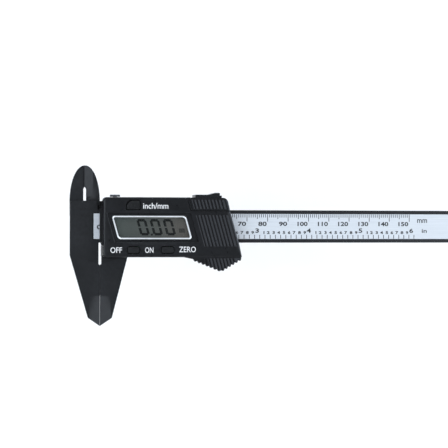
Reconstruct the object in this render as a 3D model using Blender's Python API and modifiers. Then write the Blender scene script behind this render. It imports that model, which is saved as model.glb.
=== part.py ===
"""Digital caliper, 150 mm, moulded in black plastic, lying on its back.

Lengths below are in millimetres and the helpers turn them into metres.  They are
measured from the jaw datum: X = 0 is where the closed jaws meet, Y = 0 is the
middle of the rail, Z = 0 is the back of the slider.  One empty carries everything,
so that the world's origin is the middle of the object's underside.
"""
import math

import bmesh
import bpy
from mathutils import Matrix, Vector

MM = 0.001
CLEARANCE = 0.3
NUDGE = 0.01  # keeps shapes that are joined from sharing a face

# Overall outline, jaw datum
LEFT_END = -14.1
RIGHT_END = 221.0
JAW_TIP_Y = -47.0
NIB_TIP_Y = 28.7

# Rail and head
RAIL_HALF = 7.75
RAIL_BACK = 2.5
RAIL_FRONT = 6.5
HEAD_TOP = 12.0
HEAD_RIGHT = -1.2
SCALE_LEFT = -3.05
SCALE_RIGHT = 210.0
SCALE_HALF = 6.0
STRIP_Z = (5.2, 5.8)
LABEL_Z = (6.1, 6.4)

# Jaws and nibs
FIXED_JAW_WIDE = 14.1
MOVING_JAW_WIDE = 13.1
JAW_WIDE_Y = -13.7
JAW_NARROW = 5.59
JAW_NARROW_Y = -43.1
JAW_GAP_HALF = 0.05
RELIEF_HALF = 0.7
RELIEF_END_Y = -18.2
KNIFE_WIDTH = 4.9
KNIFE_TOP_Y = -32.6
KNIFE_EDGE = 1.0
NIB_MID = -7.1
NIB_HALF = 7.0
NIB_BASE_Y = 11.85
NIB_SLOT_HALF = 0.6
NIB_SLOT_TOP = 18.7
NIB_PASS = 0.15
REAR_NIB_Z = (0.0, 2.9)
FRONT_NIB_Z = (3.2, 5.9)
NIB_FOOT_Y = 8.35
ARM_LOW = 5.0
NIB_BEVEL_WIDTH = 3.5
NIB_BEVEL_Y = 14.0

# Slider
BASE_TOP = 6.5
BASE_INSET = 0.2
BACK_PLATE = 2.2
CHANNEL_HALF = RAIL_HALF + CLEARANCE
HOUSING_BACK = BASE_TOP + CLEARANCE
HOUSING_FRONT = 15.2
FRONT_WALL = 1.6
SIDE_WALL = 1.2
HOUSING_LEFT = 1.0
HOUSING_TOP = 13.6
HOUSING_BOTTOM = -14.45
RIGHT_TOP = (59.0, HOUSING_TOP)
RIGHT_WAIST = (60.6, 6.9)
RIGHT_LOW = (65.1, -8.9)
RIGHT_FOOT = (66.2, HOUSING_BOTTOM)
LEAN = math.tan(math.radians(15.5))

# Thumb grip, a wedge with a toothed edge under the housing
GRIP_LEFT = (43.2, -15.4)
GRIP_TIP = (56.3, -20.7)
GRIP_RIGHT = (65.9, -15.0)
TOOTH_DEPTH = 0.75
TOOTH_PLATE = 2.6
HEEL_INSET = 1.3
BASE_HEEL_INSET = 1.8
GRIP_STEP = 0.15

# Display
DISPLAY_LEFT = 6.05
DISPLAY_RIGHT = 41.0
DISPLAY_LOW = -6.0
DISPLAY_HIGH = 4.9
BORDER_WIDTH = 0.75
RECESS_DEPTH = 0.8
LCD_BOX = ((4.3, -7.0), (43.2, 5.2))
LCD_Z = (10.8, 12.8)
HOLDER_WALL = 0.7
HOLDER_TOP = 13.0
BORDER_Z = (13.3, 14.7)
WINDOW_Z = (13.4, 14.2)
CONNECTOR_Y = (4.3, -6.1)
CONNECTOR_HALF = 0.8

# Board
BOARD_Z = (HOUSING_BACK, HOUSING_BACK + 1.0)
BOARD_TOP_GAP = BOARD_Z[1] + CLEARANCE

# Ribs
RIB_PITCH = 1.65
RIB_GROOVE = 0.8
RIB_DEPTH = 0.5

# Buttons: centre, width and height of each cap
POWER_BUTTON = (15.0, -11.1, 5.6, 3.0)
ZERO_BUTTON = (30.9, -11.0, 5.8, 3.0)
UNIT_BUTTON = (14.8, 9.95, 6.2, 4.2)
BUTTON_FRONT = HOUSING_FRONT + 0.15
BUTTON_FLANGE_Z = (12.2, 13.2)
BUTTON_STEM_END = 9.4

# Battery compartment, at the top right
CELL_RADIUS = 5.8
CELL_AXIS = (49.2, 7.7)
CELL_Y = (8.3, 13.5)
COMPARTMENT_LEFT = 41.6
COMPARTMENT_LOW = 7.6
COVER_LEFT = 44.0
COVER_LOW = 7.45
COVER_TOP = 13.5
COVER_BACK = 13.9
COVER_WALL_Y = (13.75, 14.9)
COVER_RIDGE_Y = 15.8

# Screws
HOUSING_SCREWS = ((6.5, -11.0), (44.0, -11.0), (22.0, 10.7), (38.6, 10.7))
BOARD_SCREWS = ((23.0, -11.0), (50.5, -11.0), (27.5, 10.5))
BOSS_RADIUS = 2.2
BOARD_BOSS_RADIUS = 1.8
LOCK_AXIS = (7.1, 4.2)
LOCK_HEAD_TOP = 14.9
STOP_SCREWS = ((217.5, -3.8), (217.5, 3.8))


def clear_scene():
    """Remove whatever the scene holds."""
    for obj in list(bpy.data.objects):
        bpy.data.objects.remove(obj, do_unlink=True)


clear_scene()
parts = bpy.data.collections.new("digital_caliper")
cutters = bpy.data.collections.new("cutters")
bpy.context.scene.collection.children.link(parts)
bpy.context.scene.collection.children.link(cutters)

datum = bpy.data.objects.new("jaw_datum", None)
parts.objects.link(datum)
datum.location = Vector((-(LEFT_END + RIGHT_END) / 2, -(JAW_TIP_Y + NIB_TIP_Y) / 2, 0)) * MM


# --- materials ---------------------------------------------------------------

def plain_material(name, colour, roughness, metallic=0.0):
    """A Principled material with one colour."""
    material = bpy.data.materials.new(name)
    material.use_nodes = True
    shader = material.node_tree.nodes["Principled BSDF"]
    shader.inputs["Base Color"].default_value = (*colour, 1.0)
    shader.inputs["Roughness"].default_value = roughness
    shader.inputs["Metallic"].default_value = metallic
    return material


BLACK_PLASTIC = plain_material("black_plastic", (0.022, 0.024, 0.027), 0.45)
HOUSING_PLASTIC = plain_material("housing_plastic", (0.020, 0.022, 0.025), 0.40)
BUTTON_RUBBER = plain_material("button_rubber", (0.018, 0.019, 0.021), 0.55)
PALE_RIM = plain_material("pale_rim", (0.72, 0.74, 0.75), 0.30)
CLEAR_WINDOW = plain_material("clear_window", (0.60, 0.62, 0.62), 0.05)
LCD_GLASS = plain_material("lcd_glass", (0.09, 0.10, 0.09), 0.25)
SCALE_FILM = plain_material("scale_film", (0.62, 0.66, 0.72), 0.35, 0.3)
BOARD_GREEN = plain_material("board_laminate", (0.02, 0.16, 0.09), 0.45)
CHIP_BLACK = plain_material("chip_resin", (0.01, 0.01, 0.01), 0.35)
STEEL = plain_material("steel", (0.62, 0.62, 0.63), 0.28, 1.0)
BRASS = plain_material("brass", (0.75, 0.58, 0.28), 0.30, 1.0)
RUBBER = plain_material("connector_rubber", (0.30, 0.18, 0.22), 0.70)
HOLDER_WHITE = plain_material("holder_plastic", (0.75, 0.75, 0.73), 0.50)


# --- helpers -----------------------------------------------------------------

def place(obj, name, material=None):
    """Name a piece, colour it and hang it on the datum."""
    obj.name = name
    obj.data.name = name
    for collection in list(obj.users_collection):
        collection.objects.unlink(obj)
    parts.objects.link(obj)
    obj.parent = datum
    if material:
        obj.data.materials.clear()
        obj.data.materials.append(material)
    return obj


def box(name, low, high, material=None):
    """A block between two corners."""
    middle = (Vector(low) + Vector(high)) / 2 * MM
    bpy.ops.mesh.primitive_cube_add(size=1, location=middle)
    obj = bpy.context.object
    obj.scale = (Vector(high) - Vector(low)) * MM
    bpy.ops.object.transform_apply(location=False, rotation=False, scale=True)
    return place(obj, name, material)


TURNS = {"Z": Matrix(), "Y": Matrix.Rotation(math.radians(-90), 4, "X"),
         "X": Matrix.Rotation(math.radians(90), 4, "Y")}


def cylinder(name, radius, start, length, axis="Z", material=None, sides=16):
    """A round bar from a point along a row axis."""
    turn = TURNS[axis]
    middle = (Vector(start) + turn @ Vector((0, 0, length / 2))) * MM
    bpy.ops.mesh.primitive_cylinder_add(vertices=sides, radius=radius * MM, depth=length * MM,
                                        location=middle, rotation=turn.to_euler())
    return place(bpy.context.object, name, material)


def turned(name, profile, start, axis="Z", material=None, sides=16):
    """A turned piece: (radius, height) points run down its outer side, top to bottom."""
    mesh = bpy.data.meshes.new(name)
    points = [(radius * MM, 0, height * MM) for radius, height in profile]
    mesh.from_pydata(points, [(i, i + 1) for i in range(len(points) - 1)], [])
    obj = bpy.data.objects.new(name, mesh)
    parts.objects.link(obj)
    obj.location = Vector(start) * MM
    obj.rotation_euler = TURNS[axis].to_euler()
    screw = obj.modifiers.new("turn", "SCREW")
    screw.steps = sides
    screw.render_steps = sides
    screw.use_merge_vertices = True
    screw.merge_threshold = 0.00001
    return place(obj, name, material)


# Which way a flat outline's own X, Y and thickness point, for each plane
PLANES = {"XY": Matrix(), "XZ": Matrix(((1, 0, 0, 0), (0, 0, -1, 0), (0, 1, 0, 0), (0, 0, 0, 1)))}


def flat_piece(name, outlines, low, high, material=None, plane="XY"):
    """A plate with one or more closed outlines, between two heights across its plane."""
    curve = bpy.data.curves.new(name, "CURVE")
    curve.dimensions = "2D"
    curve.fill_mode = "BOTH"
    curve.render_resolution_u = 0
    curve.extrude = (high - low) / 2 * MM
    for outline in outlines:
        spline = curve.splines.new("POLY")
        spline.points.add(len(outline) - 1)
        for point, (x, y) in zip(spline.points, outline):
            point.co = (x * MM, y * MM, 0, 1)
        spline.use_cyclic_u = True
    guide = bpy.data.objects.new(name, curve)
    parts.objects.link(guide)
    middle = (low + high) / 2 * MM
    height = -middle if plane == "XZ" else middle
    guide.matrix_world = PLANES[plane] @ Matrix.Translation((0, 0, height))
    bpy.context.view_layer.update()
    mesh = bpy.data.meshes.new_from_object(guide.evaluated_get(bpy.context.evaluated_depsgraph_get()))
    shape = bmesh.new()
    shape.from_mesh(mesh)
    bmesh.ops.remove_doubles(shape, verts=shape.verts, dist=0.000001)
    bmesh.ops.dissolve_limit(shape, angle_limit=math.radians(0.5), verts=shape.verts, edges=shape.edges)
    shape.to_mesh(mesh)
    shape.free()
    obj = bpy.data.objects.new(name, mesh)
    obj.matrix_world = guide.matrix_world
    parts.objects.link(obj)
    bpy.data.objects.remove(guide, do_unlink=True)
    bpy.data.curves.remove(curve)
    return place(obj, name, material)


def round_front(piece, width, segments=2):
    """Round the edge round a plate's front face."""
    shape = bmesh.new()
    shape.from_mesh(piece.data)
    front = max(vert.co.z for vert in shape.verts)
    rim = [edge for edge in shape.edges if all(front - vert.co.z < 1e-6 for vert in edge.verts)]
    bmesh.ops.bevel(shape, geom=rim, offset=width * MM, segments=segments, profile=0.5, affect="EDGES")
    shape.to_mesh(piece.data)
    shape.free()


def combine(piece, operation, tools):
    """Join tools to a piece, cut them from it, or keep only what they share."""
    for tool in tools:
        for collection in list(tool.users_collection):
            collection.objects.unlink(tool)
        cutters.objects.link(tool)
        tool.hide_render = True
        tool.display_type = "WIRE"
        modifier = piece.modifiers.new(tool.name, "BOOLEAN")
        modifier.operation = operation
        modifier.object = tool
    return piece


def join(piece, *tools):
    return combine(piece, "UNION", tools)


def cut(piece, *tools):
    return combine(piece, "DIFFERENCE", tools)


def rounded(corners, steps=4):
    """An outline whose (x, y, radius) corners are turned into arcs."""
    outline = []
    count = len(corners)
    for i, (x, y, radius) in enumerate(corners):
        here = Vector((x, y))
        if radius <= 0:
            outline.append((x, y))
            continue
        before = (Vector(corners[i - 1][:2]) - here).normalized()
        after = (Vector(corners[(i + 1) % count][:2]) - here).normalized()
        half = before.angle(after) / 2
        centre = here + (before + after).normalized() * (radius / math.sin(half))
        first = here + before * (radius / math.tan(half)) - centre
        last = here + after * (radius / math.tan(half)) - centre
        sweep = first.angle_signed(last)
        for step in range(steps + 1):
            spoke = first.copy()
            spoke.rotate(Matrix.Rotation(-sweep * step / steps, 2))
            outline.append(tuple(centre + spoke))
    return outline


def rounded_box(middle, width, height, radius):
    """The outline of a rectangle with round corners."""
    x, y = middle
    w, h = width / 2, height / 2
    return rounded([(x - w, y - h, radius), (x + w, y - h, radius),
                    (x + w, y + h, radius), (x - w, y + h, radius)])


def leaning(left, right, low, high, radius=0.0):
    """A parallelogram that leans like the display; left and right are its sides at Y = 0."""
    corners = ((left, low), (right, low), (right, high), (left, high))
    return rounded([(x - y * LEAN, y, radius) for x, y in corners])


def toothed(start, end, teeth):
    """Pointed teeth along a line, standing out on its right-hand side."""
    start, end = Vector(start), Vector(end)
    along = (end - start) / teeth
    out = Vector((along.y, -along.x)).normalized() * TOOTH_DEPTH
    points = []
    for tooth in range(teeth):
        root = start + along * tooth
        points += [tuple(root), tuple(root + along * 0.4 + out), tuple(root + along * 0.6 + out)]
    return points


def bowed_band(start, end, bow, thickness, steps=8):
    """The outline of a thin strip from start to end, bowed to its left in the middle."""
    start, end = Vector(start), Vector(end)
    left = Vector((start.y - end.y, end.x - start.x)).normalized()
    near = [start.lerp(end, i / steps) + left * bow * math.sin(math.pi * i / steps)
            for i in range(steps + 1)]
    far = [point + left * thickness for point in reversed(near)]
    return [tuple(point) for point in near + far]


# --- the rail with the fixed jaws ---------------------------------------------

def lower_jaw_outline(side, wide, top):
    """One lower jaw from its contact face outwards; side is -1 for the fixed one, 1 for the moving one."""
    face = JAW_GAP_HALF
    arc = [(RELIEF_HALF * math.cos(turn), RELIEF_END_Y + RELIEF_HALF * (1 - math.sin(turn)))
           for turn in (math.radians(20 * i) for i in range(5))]
    points = [(RELIEF_HALF, top)] + [(x, y) for x, y in arc if x > face] + [(face, RELIEF_END_Y + 0.02)]
    points += [(face, JAW_TIP_Y), (JAW_NARROW, JAW_NARROW_Y), (wide, JAW_WIDE_Y), (wide, top)]
    return [(side * x, y) for x, y in points]


def knife_cutters(name, side, mid, width, top, bottom, levels, edge_levels):
    """Wedges that thin a jaw towards its measuring edge, on the front and on the back."""
    outer = mid + side * width
    inner = mid - side * 1.0
    slope = 1.0 / width
    wedges = []
    for face, level, edge in zip(("back", "front"), levels, edge_levels):
        past_edge = edge + (edge - level) * slope
        beyond = level - 2 if face == "back" else level + 2
        outline = [(outer, level), (inner, past_edge), (inner, beyond), (outer, beyond)]
        wedges.append(flat_piece(f"{name}_{face}_knife", [outline], bottom, top, plane="XZ"))
    return wedges


def nib_outline(side, foot):
    """Half of the pointed arch of the upper jaws, on the left (-1) or the right (1) of its middle."""
    height = NIB_TIP_Y - NIB_BASE_Y
    turns = [math.radians(90) * i / 10 for i in range(11)]
    arch = [(NIB_HALF * math.cos(turn), NIB_BASE_Y + height * math.sin(turn)) for turn in turns]
    inner = [(-NIB_PASS, NIB_TIP_Y - NIB_PASS), (-NIB_PASS, NIB_SLOT_TOP),
             (NIB_SLOT_HALF, NIB_SLOT_TOP - 1.1), (NIB_SLOT_HALF, foot)]
    return [(NIB_MID + side * x, y) for x, y in [(NIB_HALF, foot)] + arch + inner]


def beam_with_fixed_jaws():
    """The rail, the head at its left end, the lower fixed jaw and the front upper nib."""
    rail_outline = rounded([(-5, -RAIL_HALF, 0), (RIGHT_END, -RAIL_HALF, 0.8), (RIGHT_END, RAIL_HALF, 0.8),
                            (LEFT_END, RAIL_HALF, 0), (LEFT_END, -RAIL_HALF, 0)])
    beam = flat_piece("beam_with_fixed_jaws", [rail_outline], RAIL_BACK, RAIL_FRONT, BLACK_PLASTIC)
    jaw = flat_piece("fixed_jaw", [lower_jaw_outline(-1, FIXED_JAW_WIDE, 1 - RAIL_HALF)],
                     RAIL_BACK, RAIL_FRONT)
    head_outline = rounded([(LEFT_END, RAIL_HALF - 1, 0), (HEAD_RIGHT, RAIL_HALF - 1, 0),
                            (HEAD_RIGHT, HEAD_TOP, 0.4), (LEFT_END, HEAD_TOP, 1.3)])
    head = flat_piece("head", [head_outline], FRONT_NIB_Z[0], RAIL_FRONT)
    nib = flat_piece("front_nib", [nib_outline(1, HEAD_TOP - 2)], *FRONT_NIB_Z)
    join(beam, jaw, head, nib)
    middle = (RAIL_BACK + RAIL_FRONT) / 2
    edge = KNIFE_EDGE / 2
    cut(beam, *knife_cutters("fixed_jaw", -1, 0, KNIFE_WIDTH, KNIFE_TOP_Y, JAW_TIP_Y - 1,
                             (RAIL_BACK, RAIL_FRONT), (middle - edge, middle + edge)))
    front_only = knife_cutters("front_nib", 1, NIB_MID, NIB_BEVEL_WIDTH, NIB_TIP_Y + 1, NIB_BEVEL_Y,
                               FRONT_NIB_Z, (FRONT_NIB_Z[0], FRONT_NIB_Z[0] + KNIFE_EDGE))
    bpy.data.objects.remove(front_only[0], do_unlink=True)
    cut(beam, front_only[1])
    cut(beam, box("scale_recess", (SCALE_LEFT - CLEARANCE, -SCALE_HALF - CLEARANCE, STRIP_Z[0] - CLEARANCE),
                  (SCALE_RIGHT + CLEARANCE, SCALE_HALF + CLEARANCE, RAIL_FRONT + 1)))
    cut(beam, box("rod_groove", (48, -1.3, RAIL_BACK - 1), (RIGHT_END + 1, 1.3, 4.3)))
    for i, (x, y) in enumerate(STOP_SCREWS):
        cut(beam, cylinder(f"stop_screw_hole_{i}", 1.05, (x, y, RAIL_BACK - 1), 4.2))
    return beam


def scale():
    """The measuring strip and the printed film over it, in the rail's recess."""
    layers = (("scale_strip", STRIP_Z, BOARD_GREEN), ("scale_label", LABEL_Z, SCALE_FILM))
    for name, (low, high), material in layers:
        box(name, (SCALE_LEFT, -SCALE_HALF, low), (SCALE_RIGHT, SCALE_HALF, high), material)


def screw_profile(head_radius, head_height, shank_radius, length):
    """A flat-headed screw, its head's top at height 0 and its point below."""
    return [(0, 0), (head_radius, 0), (head_radius, -head_height), (shank_radius, -head_height),
            (shank_radius, shank_radius - length), (0, -length)]


def back_screw(name, at, top, head, shank, length, material=STEEL):
    """A screw driven from the back: its head's outer face is at height top."""
    screw = turned(name, screw_profile(head[0], head[1], shank, length), (*at, top), material=material)
    screw.rotation_euler = (math.pi, 0, 0)
    return screw


def end_stop():
    """The plate that stops the slider, and the two screws that hold it on the rail's back."""
    plate = flat_piece("end_stop_plate", [rounded_box((217.4, 0), 6.4, 12, 0.8)],
                       0, RAIL_BACK - CLEARANCE, BLACK_PLASTIC)
    for i, (x, y) in enumerate(STOP_SCREWS):
        cut(plate, cylinder(f"stop_plate_hole_{i}", 1.05, (x, y, -1), 4),
            cylinder(f"stop_plate_seat_{i}", 1.9, (x, y, -1), 2.2))
        back_screw(f"end_stop_screw_{i + 1}", (x, y), 0.2, (1.5, 0.7), 0.75, 5.0)


def depth_rod():
    """The flat rod in the rail's rear groove; its tab drops into the slider's back."""
    outline = [(50, -1), (RIGHT_END, -1), (RIGHT_END, 0.2), (RIGHT_END - 1.2, 1), (50, 1)]
    rod = flat_piece("depth_rod", [outline], 2.8, 4.0, STEEL)
    join(rod, box("rod_tab", (50.1, -0.9, 1.2), (53, 0.9, 3.2)))


# --- the slider's base -------------------------------------------------------

def housing_corners(inset):
    """The corners of the front housing, without its thumb grip, moved inwards by inset."""
    shift = inset / math.cos(math.atan(LEAN))
    return [(HOUSING_LEFT + inset, HOUSING_BOTTOM + inset, 1.0),
            (RIGHT_FOOT[0] - shift, HOUSING_BOTTOM + inset, 0.0),
            (RIGHT_LOW[0] - shift, RIGHT_LOW[1], 2.0),
            (RIGHT_WAIST[0] - shift, RIGHT_WAIST[1], 0.0),
            (RIGHT_TOP[0] - shift, HOUSING_TOP - inset, 2.6),
            (HOUSING_LEFT + inset, HOUSING_TOP - inset, 1.4)]


def grip_outline():
    """The thumb grip's wedge, toothed on both slopes and round its tip."""
    points = toothed(GRIP_LEFT, GRIP_TIP, 7) + toothed(GRIP_TIP, GRIP_RIGHT, 6)
    root_y = HOUSING_BOTTOM + 0.95
    return points + [GRIP_RIGHT, (RIGHT_FOOT[0] - 0.3, root_y), (38.6, root_y), (38.6, HOUSING_BOTTOM)]


def heel_outline(inset):
    """The plain wedge under the toothed plate of the thumb grip, moved inwards by inset."""
    root_y = HOUSING_BOTTOM + 0.95
    return [(GRIP_LEFT[0] + 1.5 * inset, HOUSING_BOTTOM + 0.4), (GRIP_TIP[0], GRIP_TIP[1] + inset),
            (GRIP_RIGHT[0] - inset, GRIP_RIGHT[1] + 0.6 * inset), (GRIP_RIGHT[0] - inset, root_y),
            (GRIP_LEFT[0] + 1.5 * inset, root_y)]


def slider_base():
    """The sliding moulding: back plate, two guides, the lower moving jaw and the rear upper nib."""
    base = flat_piece("slider_base", [rounded(housing_corners(BASE_INSET))], 0, BASE_TOP, BLACK_PLASTIC)
    jaw = flat_piece("moving_jaw", [lower_jaw_outline(1, MOVING_JAW_WIDE, -CHANNEL_HALF)],
                     RAIL_BACK, RAIL_FRONT - NUDGE)
    foot = box("jaw_foot", (RELIEF_HALF, HOUSING_BOTTOM + 0.35, NUDGE),
               (MOVING_JAW_WIDE - 1, -CHANNEL_HALF - NUDGE, RAIL_BACK + 1))
    nib = flat_piece("rear_nib", [nib_outline(-1, NIB_FOOT_Y)], *REAR_NIB_Z)
    arm = box("nib_arm", (LEFT_END + 2 * NUDGE, ARM_LOW, NUDGE), (3, HEAD_TOP - 0.1, REAR_NIB_Z[1] - NUDGE))
    grip = flat_piece("base_grip", [heel_outline(BASE_HEEL_INSET)], 0.8, BASE_TOP - 2 * NUDGE)
    channel = box("rail_channel", (-20, -CHANNEL_HALF, BACK_PLATE), (80, CHANNEL_HALF, BASE_TOP + 1))
    join(base, jaw, foot, nib, arm, grip)
    cut(base, channel)
    middle = (RAIL_BACK + RAIL_FRONT) / 2
    edge = KNIFE_EDGE / 2
    cut(base, *knife_cutters("moving_jaw", 1, 0, KNIFE_WIDTH, KNIFE_TOP_Y, JAW_TIP_Y - 1,
                             (RAIL_BACK, RAIL_FRONT), (middle - edge, middle + edge)))
    wedges = knife_cutters("rear_nib", -1, NIB_MID, NIB_BEVEL_WIDTH, NIB_TIP_Y + 1, NIB_BEVEL_Y,
                           REAR_NIB_Z, (REAR_NIB_Z[1] - KNIFE_EDGE, REAR_NIB_Z[1]))
    bpy.data.objects.remove(wedges[1], do_unlink=True)
    cut(base, wedges[0])
    cut(base, box("cell_pocket", (42.9, CHANNEL_HALF - 1, 1.6), (55.6, HOUSING_TOP + 1, BASE_TOP + 1)))
    cut(base, box("spring_pocket", (13.7, CHANNEL_HALF - 1, 2.9), (36.3, 9.3, 6.0)))
    cut(base, cylinder("lock_hole", 1.4, (LOCK_AXIS[0], CHANNEL_HALF - 1, LOCK_AXIS[1]), 8, "Y"))
    cut(base, box("rod_pocket", (49.7, -1.4, 0.9), (53.4, 1.4, BACK_PLATE + 1)))
    for i, (x, y) in enumerate(HOUSING_SCREWS):
        cut(base, cylinder(f"base_hole_{i}", 1.05, (x, y, -1), 9),
            cylinder(f"base_seat_{i}", 1.9, (x, y, -1), 2.5))
    for i, (x, y) in enumerate(BOARD_SCREWS):
        cut(base, cylinder(f"board_screw_pocket_{i}", 1.7, (x, y, 5.6), 3))
    return base


def guide_spring():
    """The bowed leaf that presses on the rail's upper edge."""
    band = bowed_band((35.8, 8.85), (14.2, 8.85), 0.5, 0.2)
    flat_piece("gib_spring", [band], 3.4, 5.6, STEEL)


# --- the front housing -------------------------------------------------------

def grooves(name, left, right, low, high, depth, front):
    """Slanting grooves side by side, between two sides given at Y = 0."""
    count = int((right - left) / RIB_PITCH)
    starts = [left + i * RIB_PITCH for i in range(count)]
    outlines = [leaning(start, start + RIB_GROOVE, low, high) for start in starts]
    return flat_piece(name, outlines, front - depth, front + 1)


def cover_outline():
    """The battery cover's front plate; its right end carries on the housing's leaning side."""
    slope = (RIGHT_WAIST[0] - RIGHT_TOP[0]) / (RIGHT_TOP[1] - RIGHT_WAIST[1])
    right_low = RIGHT_TOP[0] + (HOUSING_TOP - COVER_LOW) * slope
    return rounded([(COVER_LEFT - COVER_LOW * LEAN, COVER_LOW, 0), (right_low, COVER_LOW, 0),
                    (RIGHT_TOP[0], COVER_TOP, 2.6), (COVER_LEFT - COVER_TOP * LEAN, COVER_TOP, 0)])


def front_housing():
    """The front cover: a shell with the display opening, button holes, bosses, ribs and thumb grip."""
    housing = flat_piece("front_housing", [rounded(housing_corners(0))],
                         HOUSING_BACK, HOUSING_FRONT, HOUSING_PLASTIC)
    round_front(housing, 0.7)
    plate_front = HOUSING_FRONT - GRIP_STEP
    grip = flat_piece("housing_grip", [grip_outline()], plate_front - TOOTH_PLATE, plate_front)
    round_front(grip, 0.4, 1)
    heel = flat_piece("grip_heel", [heel_outline(HEEL_INSET)], HOUSING_BACK + NUDGE,
                      plate_front - TOOTH_PLATE + 0.5)
    lip_outline = [(-0.35, 8.3), (-0.35, -6.9), (1.1, -9.9), (2, -9.9), (2, 8.3)]
    lip = flat_piece("housing_lip", [lip_outline], HOUSING_BACK + 2 * NUDGE, 9.6)
    join(housing, grip, heel, lip)

    lean_wall = SIDE_WALL * 1.1
    step = (COMPARTMENT_LEFT - 1, COMPARTMENT_LOW - 0.8)
    cavity_outline = [(HOUSING_LEFT + SIDE_WALL, HOUSING_BOTTOM + SIDE_WALL),
                      (RIGHT_FOOT[0] - lean_wall, HOUSING_BOTTOM + SIDE_WALL),
                      (RIGHT_LOW[0] - lean_wall, RIGHT_LOW[1]), (RIGHT_WAIST[0] - lean_wall, step[1]),
                      step, (step[0], HOUSING_TOP - SIDE_WALL),
                      (HOUSING_LEFT + SIDE_WALL, HOUSING_TOP - SIDE_WALL)]
    cavity = flat_piece("cavity", [cavity_outline], HOUSING_BACK - 1, HOUSING_FRONT - FRONT_WALL)
    compartment = box("compartment", (COMPARTMENT_LEFT, COMPARTMENT_LOW, HOUSING_BACK - 1),
                      (70, HOUSING_TOP + 2, HOUSING_FRONT + 1))
    seat_low = COVER_LOW - CLEARANCE
    seat_left = COVER_LEFT - CLEARANCE
    above = HOUSING_TOP + 2
    seat_outline = [(seat_left - seat_low * LEAN, seat_low), (70, seat_low), (70, above),
                    (seat_left - above * LEAN, above)]
    seat = flat_piece("cover_seat", [seat_outline], COVER_BACK - CLEARANCE, HOUSING_FRONT + 1)
    cut(housing, cavity, compartment, seat)

    for i, (x, y) in enumerate(HOUSING_SCREWS):
        join(housing, cylinder(f"boss_{i}", BOSS_RADIUS, (x, y, HOUSING_BACK + 3 * NUDGE), 7))
    for i, (x, y) in enumerate(BOARD_SCREWS):
        join(housing, cylinder(f"board_boss_{i}", BOARD_BOSS_RADIUS, (x, y, BOARD_TOP_GAP), 6))
    for i, (x, y) in enumerate(HOUSING_SCREWS):
        cut(housing, cylinder(f"boss_hole_{i}", 1.05, (x, y, HOUSING_BACK - 1), 6))
    for i, (x, y) in enumerate(BOARD_SCREWS):
        cut(housing, cylinder(f"board_boss_hole_{i}", 0.9, (x, y, HOUSING_BACK - 1), 5))

    recess = flat_piece("display_recess", [leaning(4.45, 43.7, -7.4, 6.3)],
                        HOUSING_FRONT - RECESS_DEPTH, HOUSING_FRONT + 1)
    opening_outline = leaning(DISPLAY_LEFT - CLEARANCE, DISPLAY_RIGHT + CLEARANCE,
                              DISPLAY_LOW - CLEARANCE, DISPLAY_HIGH + CLEARANCE, 1.0)
    opening = flat_piece("display_opening", [opening_outline],
                         HOUSING_FRONT - FRONT_WALL - 1, HOUSING_FRONT + 1)
    cut(housing, recess, opening)
    for name, button in (("power", POWER_BUTTON), ("zero", ZERO_BUTTON), ("unit", UNIT_BUTTON)):
        hole = flat_piece(f"{name}_hole", [button_outline(button, CLEARANCE)],
                          HOUSING_FRONT - FRONT_WALL - 1, HOUSING_FRONT + 1)
        cut(housing, hole)
    cut(housing, grooves("main_grooves", 46.0, 61.2, -9.4, 5.3, RIB_DEPTH, HOUSING_FRONT))
    cut(housing, grooves("grip_grooves", 44.2, 59.6, -24.0, -15.0, RIB_DEPTH, HOUSING_FRONT - GRIP_STEP))
    return housing


def button_outline(button, margin):
    """The cap of a push button; the tall one has a round left end."""
    x, y, width, height = button
    width, height = width + 2 * margin, height + 2 * margin
    if button is not UNIT_BUTTON:
        return rounded_box((x, y), width, height, 0.8 + margin)
    left, right = x - width / 2, x + width / 2
    low, high = y - height / 2, y + height / 2
    return rounded([(left, low, 0.6), (right, low, 0.6), (right, high, 0.8), (left, high, 3.0)], 6)


def push_button(name, button):
    """A cap through the housing, the flange that keeps it in, and its stem."""
    x, y, width, height = button
    cap = flat_piece(name, [button_outline(button, 0)],
                     BUTTON_FLANGE_Z[1] - 0.2, BUTTON_FRONT, BUTTON_RUBBER)
    round_front(cap, 0.25, 1)
    flange = box(f"{name}_flange", (x - width / 2 - 0.55, y - height / 2 - 0.2, BUTTON_FLANGE_Z[0]),
                 (x + width / 2 + 0.55, y + height / 2 + 0.1, BUTTON_FLANGE_Z[1]))
    stem = cylinder(f"{name}_stem", 1.0, (x, y, BUTTON_STEM_END), BUTTON_FLANGE_Z[0] - BUTTON_STEM_END + 0.4)
    join(cap, flange, stem)


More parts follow.
